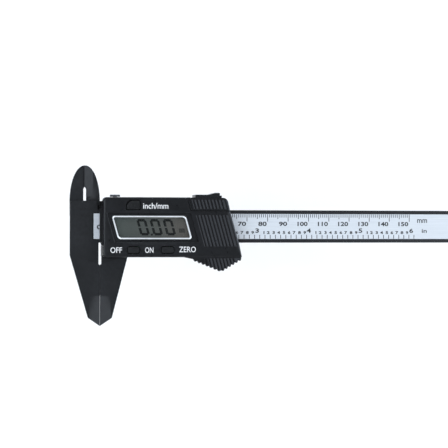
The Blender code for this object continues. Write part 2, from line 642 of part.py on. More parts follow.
def display():
    """The rim, the window, the glass, its holder and the two rubber connectors."""
    outer = leaning(DISPLAY_LEFT, DISPLAY_RIGHT, DISPLAY_LOW, DISPLAY_HIGH, 1.0)
    inner = leaning(DISPLAY_LEFT + BORDER_WIDTH, DISPLAY_RIGHT - BORDER_WIDTH,
                    DISPLAY_LOW + BORDER_WIDTH, DISPLAY_HIGH - BORDER_WIDTH, 0.6)
    rim = flat_piece("display_border", [outer], *BORDER_Z, PALE_RIM)
    cut(rim, flat_piece("border_opening", [inner], BORDER_Z[0] - 1, BORDER_Z[1] + 1))
    edge = BORDER_WIDTH + CLEARANCE
    pane = leaning(DISPLAY_LEFT + edge, DISPLAY_RIGHT - edge, DISPLAY_LOW + edge, DISPLAY_HIGH - edge, 0.4)
    flat_piece("display_window", [pane], *WINDOW_Z, CLEAR_WINDOW)
    (left, low), (right, high) = LCD_BOX
    box("lcd_panel", (left, low, LCD_Z[0]), (right, high, LCD_Z[1]), LCD_GLASS)
    edge = CLEARANCE + HOLDER_WALL
    holder = box("lcd_holder", (left - edge, low - edge, BOARD_TOP_GAP),
                 (right + edge, high + edge, HOLDER_TOP), HOLDER_WHITE)
    cut(holder, box("holder_opening", (left - CLEARANCE, low - CLEARANCE, BOARD_TOP_GAP - 1),
                    (right + CLEARANCE, high + CLEARANCE, HOLDER_TOP + 1)))
    for name, y in zip(("zebra_strip_upper", "zebra_strip_lower"), CONNECTOR_Y):
        box(name, (6, y - CONNECTOR_HALF, BOARD_TOP_GAP),
            (42, y + CONNECTOR_HALF, LCD_Z[0] - CLEARANCE), RUBBER)


def dome(name, at, radius, height, material):
    """A shallow dome with a flat underside on the board."""
    bpy.ops.mesh.primitive_uv_sphere_add(segments=16, ring_count=8, radius=radius * MM)
    obj = bpy.context.object
    shape = bmesh.new()
    shape.from_mesh(obj.data)
    bmesh.ops.scale(shape, vec=(1, 1, height / radius), verts=shape.verts)
    geometry = list(shape.verts) + list(shape.edges) + list(shape.faces)
    lower = bmesh.ops.bisect_plane(shape, geom=geometry, plane_co=(0, 0, 0.00001), plane_no=(0, 0, 1),
                                   clear_inner=True)
    rim = [item for item in lower["geom_cut"] if isinstance(item, bmesh.types.BMEdge)]
    bmesh.ops.holes_fill(shape, edges=rim)
    shape.to_mesh(obj.data)
    shape.free()
    obj.location = Vector((*at, BOARD_TOP_GAP)) * MM
    return place(obj, name, material)


def circuit_board():
    """The board with its notches, and what stands on it."""
    outline = [(3.2, -12.6), (57, -12.6), (57, 6.1), (40, 6.1), (40, 11.9), (3.2, 11.9)]
    board = flat_piece("circuit_board", [outline], *BOARD_Z, BOARD_GREEN)
    for i, (x, y) in enumerate(HOUSING_SCREWS):
        cut(board, cylinder(f"board_notch_{i}", BOSS_RADIUS + CLEARANCE, (x, y, BOARD_Z[0] - 1), 3))
    for i, (x, y) in enumerate(BOARD_SCREWS):
        cut(board, cylinder(f"board_hole_{i}", 0.9, (x, y, BOARD_Z[0] - 1), 3))
        back_screw(f"board_screw_{i + 1}", (x, y), 5.9, (1.2, 0.6), 0.6, 4.2)
    dome("driver_chip", (24, -0.8), 4.0, 1.5, CHIP_BLACK)
    cylinder("crystal", 0.95, (46.2, 2.5, 9.2), 6, "X", STEEL, 16)
    cylinder("capacitor", 2.0, (50, -4, BOARD_TOP_GAP), 4.4, "Z", STEEL, 20)
    for name, button in (("power", POWER_BUTTON), ("zero", ZERO_BUTTON), ("unit", UNIT_BUTTON)):
        dome(f"snap_dome_{name}", button[:2], 2.0, 0.5, STEEL)


def housing_screws():
    for i, at in enumerate(HOUSING_SCREWS):
        back_screw(f"housing_screw_{i + 1}", at, 0.3, (1.5, 0.8), 0.75, 10.5)


# --- battery, cover and lock -------------------------------------------------

def battery():
    """A button cell standing on its rim, its two contacts beside it."""
    thickness = CELL_Y[1] - CELL_Y[0]
    profile = [(0, thickness), (CELL_RADIUS - 0.4, thickness), (CELL_RADIUS, thickness - 0.4),
               (CELL_RADIUS, 0.9), (CELL_RADIUS - 0.5, 0.5), (4.6, 0.5), (4.6, 0), (0, 0)]
    turned("battery", profile, (CELL_AXIS[0], CELL_Y[0], CELL_AXIS[1]), "Y", STEEL, 32)
    positive = bowed_band((41.9, 7.2), (41.9, 12.6), -0.7, 0.2)
    flat_piece("battery_contact_positive", [positive], 9.0, 12.0, STEEL, "XZ")
    box("battery_contact_negative", (44.4, 7.85, 7.4), (54.0, 8.05, 11.5), STEEL)


def battery_cover():
    """The ribbed cover that slides off to the right, with its top wall and thumb ridge."""
    cover = flat_piece("battery_cover", [cover_outline()], COVER_BACK, HOUSING_FRONT, HOUSING_PLASTIC)
    low, high = COVER_WALL_Y
    wall_outline = rounded([(44.1, low, 0), (56.6, low, 0), (56.6, low + 0.5, 0), (55.7, low + 0.5, 0),
                            (55.7, COVER_RIDGE_Y, 0.5), (53.3, COVER_RIDGE_Y, 0.7), (50.7, high, 0),
                            (44.1, high, 0)])
    wall = flat_piece("cover_top_wall", [wall_outline], 2.2, 14.5)
    bridge = box("cover_bridge", (44.2, 13.0, COVER_BACK + 0.05), (56.5, 14.5, 14.4))
    end = box("cover_end_wall", (56.3, COMPARTMENT_LOW + 0.3, HOUSING_BACK + 0.1),
              (57.2, 13.0, COVER_BACK + 0.5))
    join(cover, wall, bridge, end)
    cut(cover, grooves("cover_grooves", 44.4, 61.2, 8.2, 12.5, RIB_DEPTH, HOUSING_FRONT))


def lock():
    """The clamp screw on the slider's upper edge, and the pad under its point."""
    x, z = LOCK_AXIS
    profile = [(0, 0), (2.3, 0), (2.45, -0.15), (2.45, -0.95), (1.1, -0.95), (1.1, -5.3), (0, -5.3)]
    screw = turned("lock_screw", profile, (x, LOCK_HEAD_TOP, z), "Y", STEEL, 24)
    slot = box("lock_slot", (x - 3, LOCK_HEAD_TOP - 0.4, z - 0.35), (x + 3, LOCK_HEAD_TOP + 1, z + 0.35))
    cut(screw, slot)
    cylinder("lock_pad", 1.1, (x, RAIL_HALF + 0.35, z), 1.1, "Y", BRASS)


beam_with_fixed_jaws()
scale()
end_stop()
depth_rod()
slider_base()
guide_spring()
front_housing()
push_button("power_button", POWER_BUTTON)
push_button("zero_button", ZERO_BUTTON)
push_button("unit_button", UNIT_BUTTON)
display()
circuit_board()
housing_screws()
battery()
battery_cover()
lock()
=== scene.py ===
"""Digital caliper with moulded black jaws and rail: its finished surfaces, print and glass.

Lengths in the sections below are millimetres from the jaw datum: X = 0 is where the
closed jaws meet, Y = 0 is the middle of the rail and Z = 0 is the back of the slider.
The function at() turns them into metres in the frame.
"""
import math

import bpy
from mathutils import Matrix, Vector


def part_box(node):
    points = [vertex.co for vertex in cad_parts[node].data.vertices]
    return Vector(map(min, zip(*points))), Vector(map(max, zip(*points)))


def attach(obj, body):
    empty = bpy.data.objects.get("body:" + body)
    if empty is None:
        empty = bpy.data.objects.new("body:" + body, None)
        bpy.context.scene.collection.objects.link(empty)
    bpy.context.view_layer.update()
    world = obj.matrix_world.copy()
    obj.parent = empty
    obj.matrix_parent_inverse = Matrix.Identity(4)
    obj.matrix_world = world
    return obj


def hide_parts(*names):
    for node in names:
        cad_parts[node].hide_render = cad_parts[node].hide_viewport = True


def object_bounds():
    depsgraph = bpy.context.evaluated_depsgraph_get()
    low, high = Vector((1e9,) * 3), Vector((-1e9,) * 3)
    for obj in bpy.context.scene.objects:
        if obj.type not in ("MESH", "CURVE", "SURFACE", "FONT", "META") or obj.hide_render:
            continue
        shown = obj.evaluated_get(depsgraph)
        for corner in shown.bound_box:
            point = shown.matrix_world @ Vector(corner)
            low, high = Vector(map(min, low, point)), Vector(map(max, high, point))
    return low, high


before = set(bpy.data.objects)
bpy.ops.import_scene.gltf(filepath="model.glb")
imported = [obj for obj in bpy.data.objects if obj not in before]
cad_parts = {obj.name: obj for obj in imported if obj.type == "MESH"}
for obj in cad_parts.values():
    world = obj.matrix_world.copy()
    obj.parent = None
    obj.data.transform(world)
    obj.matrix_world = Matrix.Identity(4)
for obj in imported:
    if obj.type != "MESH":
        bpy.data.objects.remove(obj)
cad_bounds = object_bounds()


# --- Rail with the fixed jaws --------------------------------------------------
# One moulding in black glass-filled plastic: the rail, its head, the outside jaw below
# it and half of the inside nib above.  The mould leaves every edge slightly round and
# a fine spark-eroded grain on the faces; handling polishes the edges a little.

MM = 0.001
HEAD_WIDTH = 14.1
rail_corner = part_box("beam_with_fixed_jaws")[0]
label_low, label_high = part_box("scale_label")
JAW_LINE = rail_corner.x + HEAD_WIDTH * MM
RAIL_LINE = (label_low.y + label_high.y) / 2


def at(x, y, z):
    """A point in the frame, in metres, from millimetres off the jaw datum."""
    return Vector((JAW_LINE + x * MM, RAIL_LINE + y * MM, z * MM))


class Finish:
    """A Principled material whose patterns are laid out in millimetres."""

    def __init__(self, name, roughness=0.5, metallic=0.0, specular=0.5):
        self.material = bpy.data.materials.new(name)
        self.material.use_nodes = True
        self.tree = self.material.node_tree
        self.shader = self.tree.nodes["Principled BSDF"]
        self.set("Roughness", roughness)
        self.set("Metallic", metallic)
        self.set("Specular IOR Level", specular)
        metres = self.add("TexCoord", {}).outputs["Object"]
        in_mm = self.add("Mapping", {"Vector": metres, "Scale": (1 / MM, 1 / MM, 1 / MM)})
        self.place = in_mm.outputs["Vector"]
        self.surface = None

    def set(self, socket, value):
        """Set one of the shader's sockets, or link a pattern to it."""
        self.feed(self.shader.inputs[socket], value)

    def feed(self, socket, value):
        if isinstance(value, bpy.types.NodeSocket):
            self.tree.links.new(value, socket)
        else:
            socket.default_value = value

    def add(self, kind, inputs, **settings):
        node = self.tree.nodes.new("ShaderNode" + kind)
        for setting, value in settings.items():
            setattr(node, setting, value)
        for socket, value in inputs.items():
            self.feed(node.inputs[socket], value)
        return node

    def noise(self, per_mm, detail=2.0, stretch=(1, 1, 1)):
        """Cloudy noise, so many features to the millimetre; a low stretch draws it out along an axis."""
        where = self.add("Mapping", {"Vector": self.place, "Scale": stretch}).outputs["Vector"]
        return self.add("TexNoise", {"Vector": where, "Scale": per_mm, "Detail": detail}).outputs["Fac"]

    def ramp(self, factor, *stops):
        """Colours along a pattern, as (position, colour) stops."""
        node = self.add("ValToRGB", {"Fac": factor})
        elements = node.color_ramp.elements
        while len(elements) < len(stops):
            elements.new(1.0)
        for element, (position, colour) in zip(elements, stops):
            element.position = position
            element.color = (*colour, 1.0)
        return node.outputs["Color"]

    def mix(self, factor, first, second):
        """One colour into another."""
        node = self.add("Mix", {}, data_type="RGBA")
        self.feed(node.inputs[0], factor)
        self.feed(node.inputs[6], first)
        self.feed(node.inputs[7], second)
        return node.outputs[2]

    def spread(self, factor, low, high):
        """A number that follows a pattern between two values."""
        limits = {"Value": factor, "From Min": 0.3, "From Max": 0.7, "To Min": low, "To Max": high}
        return self.add("MapRange", limits).outputs["Result"]

    def bump(self, height, strength, depth):
        """Raise the surface by a pattern, to a depth in millimetres, over any bump before it."""
        inputs = {"Height": height, "Strength": strength, "Distance": depth * MM}
        if self.surface:
            inputs["Normal"] = self.surface
        self.surface = self.add("Bump", inputs).outputs["Normal"]
        self.set("Normal", self.surface)

    def rubbed(self, colour, worn, amount):
        """Let a worn colour show along the proud edges, patchily."""
        edges = self.add("NewGeometry", {}).outputs["Pointiness"]
        proud = self.add("MapRange", {"Value": edges, "From Min": 0.52, "From Max": 0.60, "To Max": amount})
        patchy = self.add("Math", {0: proud.outputs["Result"], 1: self.noise(0.6, 3)}, operation="MULTIPLY")
        return self.mix(patchy.outputs["Value"], colour, (*worn, 1.0))


def shade(colour, by):
    """A colour made lighter or darker."""
    return tuple(channel * by for channel in colour)


def moulded_plastic(name, colour, roughness, specular=0.5):
    """Moulded plastic: faint clouding, a fine grain, uneven gloss and edges slightly rubbed lighter."""
    finish = Finish(name, specular=specular)
    cloud = finish.noise(0.08, 4)
    body = finish.ramp(cloud, (0.3, shade(colour, 0.86)), (0.7, shade(colour, 1.16)))
    finish.set("Base Color", finish.rubbed(body, shade(colour, 3.0), 0.5))
    finish.set("Roughness", finish.spread(finish.noise(0.5, 3), roughness - 0.05, roughness + 0.05))
    finish.bump(finish.noise(9, 2), 0.35, 0.012)
    finish.bump(finish.noise(0.15, 1), 0.15, 0.05)
    return finish


def only(piece):
    """Make one piece the only one selected."""
    bpy.ops.object.select_all(action="DESELECT")
    piece.select_set(True)
    bpy.context.view_layer.objects.active = piece


def apply_modifier(piece, kind, **settings):
    """Put a modifier on a piece and apply it."""
    only(piece)
    modifier = piece.modifiers.new(kind.lower(), kind)
    for setting, value in settings.items():
        setattr(modifier, setting, value)
    bpy.ops.object.modifier_apply(modifier=modifier.name)


def round_edges(piece, width, segments=2, angle=30):
    """Round the sharp edges to a width in millimetres, all but those too short to take it."""
    mesh = piece.data
    sides = {}
    for face in mesh.polygons:
        for key in face.edge_keys:
            sides.setdefault(key, []).append(face.normal)
    weights = mesh.attributes.new("bevel_weight_edge", "FLOAT", "EDGE")
    for edge in mesh.edges:
        first, second = (mesh.vertices[corner].co for corner in edge.vertices)
        facing = sides[edge.key]
        sharp = len(facing) == 2 and facing[0].angle(facing[1], 0) > math.radians(angle)
        weights.data[edge.index].value = sharp and (first - second).length > 9 * width * MM
    apply_modifier(piece, "BEVEL", width=width * MM, segments=segments, limit_method="WEIGHT",
                   use_clamp_overlap=False)
    bpy.ops.object.shade_smooth_by_angle(angle=math.radians(40))
    apply_modifier(piece, "WEIGHTED_NORMAL", keep_sharp=True)


def fit(piece, body, finish, slot, *stands_for):
    """Give a piece its finish, hang it on its body and let it stand for its plain solids."""
    piece.data.materials.clear()
    piece.data.materials.append(finish.material)
    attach(piece, body)
    if stands_for:
        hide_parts(*stands_for)
    return piece


def copy_of(node, name):
    """A copy of a plain solid with its loose triangles merged, ready for finer work."""
    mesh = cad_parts[node].data.copy()
    piece = bpy.data.objects.new(name, mesh)
    bpy.context.scene.collection.objects.link(piece)
    only(piece)
    bpy.ops.mesh.customdata_custom_splitnormals_clear()
    bpy.ops.object.mode_set(mode="EDIT")
    bpy.ops.mesh.select_all(action="SELECT")
    bpy.ops.mesh.remove_doubles(threshold=0.000002)
    bpy.ops.mesh.beautify_fill(angle_limit=math.radians(1))
    bpy.ops.object.mode_set(mode="OBJECT")
    return piece


BLACK = (0.0085, 0.0092, 0.0105)
jaw_plastic = moulded_plastic("jaw_plastic", BLACK, 0.34, 0.2)
rail = copy_of("beam_with_fixed_jaws", "rail_and_fixed_jaws")
round_edges(rail, 0.06)
fit(rail, "beam", jaw_plastic, "black_plastic", "beam_with_fixed_jaws")


# --- Measuring strip -----------------------------------------------------------
# A strip of glass-epoxy board glued in the rail's recess.  Its row of copper pads is
# what the slider's board senses, and the printed film hides all of it.

def board_laminate(name, mask):
    """Green solder mask over woven glass, with a faint pattern of copper tracks under it."""
    finish = Finish(name, roughness=0.35)
    cell = finish.add("TexBrick", {"Vector": finish.place, "Scale": 0.6, "Mortar Size": 0.06,
                                   "Color1": (0, 0, 0, 1), "Color2": (0, 0, 0, 1), "Mortar": (1, 1, 1, 1)})
    weave = finish.ramp(finish.noise(2.5, 2), (0.3, shade(mask, 0.8)), (0.7, shade(mask, 1.15)))
    finish.set("Base Color", finish.mix(cell.outputs["Fac"], weave, (*shade(mask, 1.9), 1.0)))
    finish.bump(cell.outputs["Fac"], 0.4, 0.03)
    return finish


strip_laminate = board_laminate("strip_laminate", (0.015, 0.13, 0.07))
strip = copy_of("scale_strip", "measuring_strip")
round_edges(strip, 0.05, 1)
fit(strip, "beam", strip_laminate, "board_laminate", "scale_strip")


# --- Scale film ----------------------------------------------------------------
# A printed film with a satin silver face, laid over the strip just below the rail's
# front.  Millimetres hang from its upper edge and tenths of an inch stand on its lower
# edge, in dark grey ink.

FILM_FACE = 6.4
FILM_HALF = 6.0
INK_HEIGHT = 0.015
RAISED = 0.01
INCH = 25.4

film_silver = Finish("film_silver")
drawn = film_silver.noise(3, 2, (0.02, 1, 1))
silver = film_silver.ramp(drawn, (0.3, (0.48, 0.52, 0.565)), (0.7, (0.54, 0.58, 0.625)))
film_silver.set("Base Color", silver)
film_silver.set("Roughness", film_silver.spread(film_silver.noise(0.3, 3), 0.30, 0.38))
film_silver.bump(drawn, 0.1, 0.01)

film = copy_of("scale_label", "scale_film")
round_edges(film, 0.06)
fit(film, "beam", film_silver, "scale_film", "scale_label")

scale_ink = Finish("scale_ink", roughness=0.5)
ink_coat = scale_ink.noise(4, 2)
dark_ink = scale_ink.ramp(ink_coat, (0.35, (0.004, 0.005, 0.007)), (0.75, (0.012, 0.014, 0.018)))
scale_ink.set("Base Color", dark_ink)
scale_ink.bump(ink_coat, 0.2, 0.005)


def block(name, low, high):
    """A block between two corners, with its place in its mesh."""
    bpy.ops.object.select_all(action="DESELECT")
    low, high = at(*low), at(*high)
    bpy.ops.mesh.primitive_cube_add(size=1, location=(low + high) / 2, scale=high - low)
    bpy.ops.object.transform_apply(location=True, rotation=True, scale=True)
    piece = bpy.context.object
    piece.name = name
    return piece


def row_of_marks(first, pitch, count, low, high, width):
    """A row of printed lines, one copied along the film."""
    left, right = first - width / 2, first + width / 2
    mark = block("mark", (left, low, FILM_FACE), (right, high, FILM_FACE + INK_HEIGHT))
    apply_modifier(mark, "ARRAY", count=count, use_relative_offset=False, use_constant_offset=True,
                   constant_offset_displace=(pitch * MM, 0, 0))
    return mark


def lettering(words, spot, height, width=None, weight=0.0, align="CENTER", z=FILM_FACE, stretch=1.0):
    """Printed words with their feet at a spot; a width fits them between two sides."""
    bpy.ops.object.select_all(action="DESELECT")
    bpy.ops.object.text_add()
    text = bpy.context.object
    text.data.body = words
    text.data.offset = weight
    text.data.resolution_u = 3
    text.data.extrude = RAISED
    bpy.ops.object.convert(target="MESH")
    piece = bpy.context.object
    corners = [vertex.co for vertex in piece.data.vertices]
    left, right = min(c.x for c in corners), max(c.x for c in corners)
    foot, top = min(c.y for c in corners), max(c.y for c in corners)
    tall = height * MM / (top - foot)
    wide = width * MM / (right - left) if width else tall * stretch
    anchor = {"LEFT": left, "CENTER": (left + right) / 2, "RIGHT": right}[align]
    size = Matrix.Diagonal((wide, tall, INK_HEIGHT * MM / (2 * RAISED), 1.0))
    to_foot = Matrix.Translation((-anchor, -foot, RAISED))
    piece.data.transform(Matrix.Translation(at(*spot, z)) @ size @ to_foot)
    bpy.ops.object.mode_set(mode="EDIT")
    bpy.ops.mesh.select_all(action="SELECT")
    bpy.ops.mesh.remove_doubles(threshold=0.000001)
    bpy.ops.object.mode_set(mode="OBJECT")
    return piece


def joined(name, pieces):
    """Several pieces made one."""
    only(pieces[0])
    for piece in pieces:
        piece.select_set(True)
    bpy.ops.object.join()
    piece = bpy.context.object
    piece.name = name
    return piece


LAST_MM = 150
LAST_INCH = 6
TENTH = INCH / 10
UNIT_FOOT, FIVE_FOOT, TEN_FOOT = FILM_HALF - 1.7, FILM_HALF - 2.4, FILM_HALF - 3.6
TENTH_TOP = 2.0 - FILM_HALF
LINE = 0.32
MARGIN = 0.15
marks = [row_of_marks(0, 1, LAST_MM + 1, UNIT_FOOT, FILM_HALF - MARGIN, LINE),
         row_of_marks(0, 5, LAST_MM // 5 + 1, FIVE_FOOT, UNIT_FOOT, LINE),
         row_of_marks(0, 10, LAST_MM // 10 + 1, TEN_FOOT, FIVE_FOOT, LINE),
         row_of_marks(0, TENTH, LAST_INCH * 10 + 1, MARGIN - FILM_HALF, TENTH_TOP, LINE)]
fit(joined("scale_marks", marks), "beam", scale_ink, "scale_film")

figures = []
for number in range(10, LAST_MM + 1, 10):
    stretch = 1.5 if number < 100 else 1.36
    spot = (number - 0.45, 0.2)
    figures.append(lettering(str(number), spot, 2.1, weight=0.03, align="RIGHT", stretch=stretch))
for inch in range(1, LAST_INCH + 1):
    spot = (inch * INCH - 0.4, -3.05)
    figures.append(lettering(str(inch), spot, 2.15, weight=0.03, align="RIGHT", stretch=1.45))
for tenth in range(1, LAST_INCH * 10):
    if tenth % 10:
        spot = (tenth * TENTH - 0.25, -3.6)
        figures.append(lettering(str(tenth % 10), spot, 1.4, weight=0.04, align="RIGHT", stretch=1.5))
figures += [lettering("mm", (156.5, 1.85), 1.8, width=5.0, weight=0.015),
            lettering("in", (157.6, -3.0), 1.9, width=2.5, weight=0.015),
            lettering("0", (0.5, -1.45), 2.15, weight=0.03, align="RIGHT", stretch=1.5)]
fit(joined("scale_figures", figures), "beam", scale_ink, "scale_film")


# --- End stop ------------------------------------------------------------------
# A small moulded plate on the rail's back that keeps the slider from running off, and
# doubles as the foot of the free end.  Two steel screws hold it.

stop_plate = copy_of("end_stop_plate", "stop_plate")
round_edges(stop_plate, 0.2)
fit(stop_plate, "beam", jaw_plastic, "black_plastic", "end_stop_plate")

blackened_steel = Finish("blackened_steel", metallic=1.0)
oxide = blackened_steel.noise(0.8, 4)
blueing = blackened_steel.ramp(oxide, (0.3, (0.05, 0.05, 0.055)), (0.7, (0.11, 0.11, 0.115)))
blackened_steel.set("Base Color", blueing)
blackened_steel.set("Roughness", blackened_steel.spread(blackened_steel.noise(2, 3), 0.34, 0.5))
blackened_steel.bump(blackened_steel.noise(6, 2), 0.2, 0.01)


def edit_face(piece, index):
    """Go into edit mode with one face selected."""
    only(piece)
    bpy.ops.object.mode_set(mode="EDIT")
    bpy.ops.mesh.select_mode(type="FACE")
    bpy.ops.mesh.select_all(action="DESELECT")
    bpy.ops.object.mode_set(mode="OBJECT")
    piece.data.polygons[index].select = True
    bpy.ops.object.mode_set(mode="EDIT")


THREAD_PITCH = 0.7
THREAD_CORE = 0.82
POINT_LENGTH = 1


def spot_of(node):
    """The middle of a plain solid in X and Y, in millimetres off the jaw datum."""
    low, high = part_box(node)
    return ((low.x + high.x) / 2 - JAW_LINE) / MM, ((low.y + high.y) / 2 - RAIL_LINE) / MM


def screw_from_behind(name, spot, head_back, head, shank, length):
    """A cross-head screw driven in from the back: a flat head, then a threaded shank."""
    bpy.ops.object.select_all(action="DESELECT")
    radius, depth = head
    bpy.ops.mesh.primitive_cylinder_add(vertices=24, radius=radius * MM, depth=depth * MM,
                                        location=at(*spot, head_back + depth / 2))
    bpy.ops.object.transform_apply(location=True, rotation=True, scale=True)
    piece = bpy.context.object
    piece.name = name
    edit_face(piece, max(piece.data.polygons, key=lambda face: face.center.z).index)
    centre = at(*spot, head_back + depth)
    bpy.ops.mesh.inset(thickness=(radius - shank) * MM)
    threads = round((length - depth - POINT_LENGTH) / THREAD_PITCH)
    for step in range(2 * threads):
        bpy.ops.mesh.extrude_region_move(TRANSFORM_OT_translate={"value": (0, 0, THREAD_PITCH / 2 * MM)})
        size = THREAD_CORE if step % 2 == 0 else 1 / THREAD_CORE
        bpy.ops.transform.resize(value=(size, size, 1), center_override=centre)
    rest = length - depth - THREAD_PITCH * threads
    bpy.ops.mesh.extrude_region_move(TRANSFORM_OT_translate={"value": (0, 0, rest * MM)})
    bpy.ops.transform.resize(value=(0.25, 0.25, 1), center_override=centre)
    bpy.ops.object.mode_set(mode="OBJECT")
    arm, slot = radius * 0.62, radius * 0.16
    for across in ((arm, slot), (slot, arm)):
        x, y = spot
        cross = block("cross", (x - across[0], y - across[1], head_back - 1),
                      (x + across[0], y + across[1], head_back + depth * 0.55))
        apply_modifier(piece, "BOOLEAN", object=cross, operation="DIFFERENCE", solver="EXACT")
        bpy.data.objects.remove(cross, do_unlink=True)
    round_edges(piece, 0.06, 1, 50)
    return piece


for number in (1, 2):
    node = f"end_stop_screw_{number}"
    screw = screw_from_behind(f"stop_screw_{number}", spot_of(node), 0.2, (1.5, 0.7), 0.75, 5.0)
    fit(screw, "beam", blackened_steel, "steel", node)


# --- Depth rod -----------------------------------------------------------------
# A flat stainless rod, ground along its length, in the groove behind the rail.  Its
# tab is held in the slider's back, and its corner is cut away at the free end.

def drawn_steel(name, colour, along):
    """Ground or rolled steel with its fine lines along one direction."""
    finish = Finish(name, metallic=1.0)
    lines = finish.noise(5, 3, along)
    finish.set("Base Color", finish.ramp(lines, (0.3, shade(colour, 0.88)), (0.7, colour)))
    finish.set("Roughness", finish.spread(lines, 0.22, 0.36))
    finish.bump(lines, 0.25, 0.01)
    return finish


STEEL = (0.58, 0.58, 0.60)
rod_steel = drawn_steel("rod_steel", STEEL, (0.03, 1, 1))
rod = copy_of("depth_rod", "depth_measuring_rod")
round_edges(rod, 0.08)
fit(rod, "slider", rod_steel, "steel", "depth_rod")


# --- Slider base ---------------------------------------------------------------
# The moulding that runs on the rail: a back plate, two guides, the moving outside jaw
# and the rear half of the inside nib.  Same plastic and same mould grain as the rail.

base = copy_of("slider_base", "sliding_base")
round_edges(base, 0.06)
fit(base, "slider", jaw_plastic, "black_plastic", "slider_base")


# --- Guide spring --------------------------------------------------------------
# A bowed leaf of spring steel between the base and the rail's upper edge, which takes
# up the play.

spring_steel = drawn_steel("spring_steel", (0.42, 0.42, 0.45), (0.05, 1, 1))
leaf = copy_of("gib_spring", "guide_leaf_spring")
round_edges(leaf, 0.04, 1)
fit(leaf, "slider", spring_steel, "steel", "gib_spring")


# --- Circuit board and what is soldered on it -----------------------------------
# A small green board screwed into the front housing.  It carries the bare chip under a
# resin drop, a can crystal, a capacitor and the snap domes of the three buttons.

green_laminate = board_laminate("green_laminate", (0.012, 0.15, 0.075))
board = copy_of("circuit_board", "reader_board")
round_edges(board, 0.06, 1)
fit(board, "slider", green_laminate, "board_laminate", "circuit_board")

drop_resin = moulded_plastic("drop_resin", (0.008, 0.008, 0.009), 0.28)
chip = copy_of("driver_chip", "chip_under_resin")
apply_modifier(chip, "SUBSURF", levels=1, render_levels=1)
bpy.ops.object.shade_smooth_by_angle(angle=math.radians(50))
fit(chip, "slider", drop_resin, "chip_resin", "driver_chip")

can_steel = drawn_steel("can_steel", (0.66, 0.66, 0.68), (1, 1, 0.05))
for node, name, edge in (("crystal", "can_crystal", 0.2), ("capacitor", "smoothing_capacitor", 0.25)):
    can = copy_of(node, name)
    round_edges(can, edge, 3)
    fit(can, "slider", can_steel, "steel", node)
for key in ("power", "zero", "unit"):
    snap = copy_of(f"snap_dome_{key}", f"{key}_snap_dome")
    round_edges(snap, 0.04, 1)
    fit(snap, "slider", can_steel, "steel", f"snap_dome_{key}")


# --- Glass holder and rubber connectors ------------------------------------------
# A white frame holds the glass over the board.  Two striped rubber strips carry the
# contacts: conducting and insulating layers in turn.

holder_white = moulded_plastic("holder_white", (0.70, 0.70, 0.67), 0.48)
holder = copy_of("lcd_holder", "glass_holder")
round_edges(holder, 0.12)
fit(holder, "slider", holder_white, "holder_plastic", "lcd_holder")

striped_rubber = Finish("striped_rubber", roughness=0.7)
stripes = striped_rubber.add("TexWave", {"Vector": striped_rubber.place, "Scale": 1.6}, bands_direction="X")
stripes = stripes.outputs["Fac"]
layers = striped_rubber.ramp(stripes, (0.45, (0.42, 0.10, 0.13)), (0.55, (0.02, 0.02, 0.02)))
striped_rubber.set("Base Color", layers)
striped_rubber.bump(striped_rubber.noise(3, 2), 0.2, 0.03)
for side in ("upper", "lower"):
    connector = copy_of(f"zebra_strip_{side}", f"{side}_rubber_connector")
    round_edges(connector, 0.15, 3)
    fit(connector, "slider", striped_rubber, "connector_rubber", f"zebra_strip_{side}")


# --- Liquid-crystal glass --------------------------------------------------------
# Two sheets of glass with a grey polariser on the front.  The digits are the dark
# segments; the unit mark at the lower right barely shows.

LEAN = math.tan(math.radians(15.5))
GLASS_FACE = 12.8
SEGMENT_HEIGHT = 0.02
DIGIT_FOOT = -4.25
DIGIT_TOP = 3.4
DIGIT_WIDTH = 3.35
DIGIT_PITCH = 6.15
FIRST_DIGIT = 17.85
SEGMENT = 1.15
SEGMENT_BREAK = 0.2
SEGMENT_GAP = 0.12
POINT_LEFT = 23.3
POINT_LOW = -4.3
POINT_SIDE = 0.9

polariser_grey = Finish("polariser_grey", roughness=0.3, specular=0.3)
across = polariser_grey.add("SeparateXYZ", {"Vector": polariser_grey.place}).outputs["X"]
glass_low, glass_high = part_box("lcd_panel")
span = {"Value": across, "From Min": glass_low.x / MM, "From Max": glass_high.x / MM}
warmth = polariser_grey.add("MapRange", span).outputs["Result"]
tint = polariser_grey.ramp(warmth, (0.05, (0.058, 0.070, 0.065)), (0.55, (0.070, 0.076, 0.070)),
                           (0.95, (0.088, 0.080, 0.070)))
speckle = polariser_grey.noise(1.5, 3)
faint = polariser_grey.ramp(speckle, (0.3, (0.90, 0.90, 0.90)), (0.7, (1.0, 1.0, 1.0)))
toned = polariser_grey.add("Mix", {}, data_type="RGBA", blend_type="MULTIPLY")
polariser_grey.feed(toned.inputs[0], 1.0)
polariser_grey.feed(toned.inputs[6], tint)
polariser_grey.feed(toned.inputs[7], faint)
polariser_grey.set("Base Color", toned.outputs[2])
polariser_grey.bump(speckle, 0.05, 0.01)
glass = copy_of("lcd_panel", "liquid_crystal_glass")
round_edges(glass, 0.1)
fit(glass, "slider", polariser_grey, "lcd_glass", "lcd_panel")


def lean(x, y):
    """A point moved along X as the digits lean."""
    return x - y * LEAN, y


def leaning_bar(start, end):
    """One segment of a digit: a bar that stops just short of both its ends."""
    (x0, y0), (x1, y1) = start, end
    low = (-SEGMENT / 2, 0, GLASS_FACE)
    high = (SEGMENT / 2, 1, GLASS_FACE + SEGMENT_HEIGHT)
    bar = block("segment", low, high)
    short = SEGMENT_GAP / math.hypot(x1 - x0, y1 - y0)
    upright = abs(y1 - y0) > abs(x1 - x0)
    for vertex in bar.data.vertices:
        share = short if vertex.co.y < at(0, 0.5, 0).y else 1 - short
        side = (vertex.co.x - JAW_LINE) / MM
        x = x0 + (x1 - x0) * share + (side if upright else 0)
        y = y0 + (y1 - y0) * share + (0 if upright else side)
        vertex.co = at(x, y, vertex.co.z / MM)
    return bar


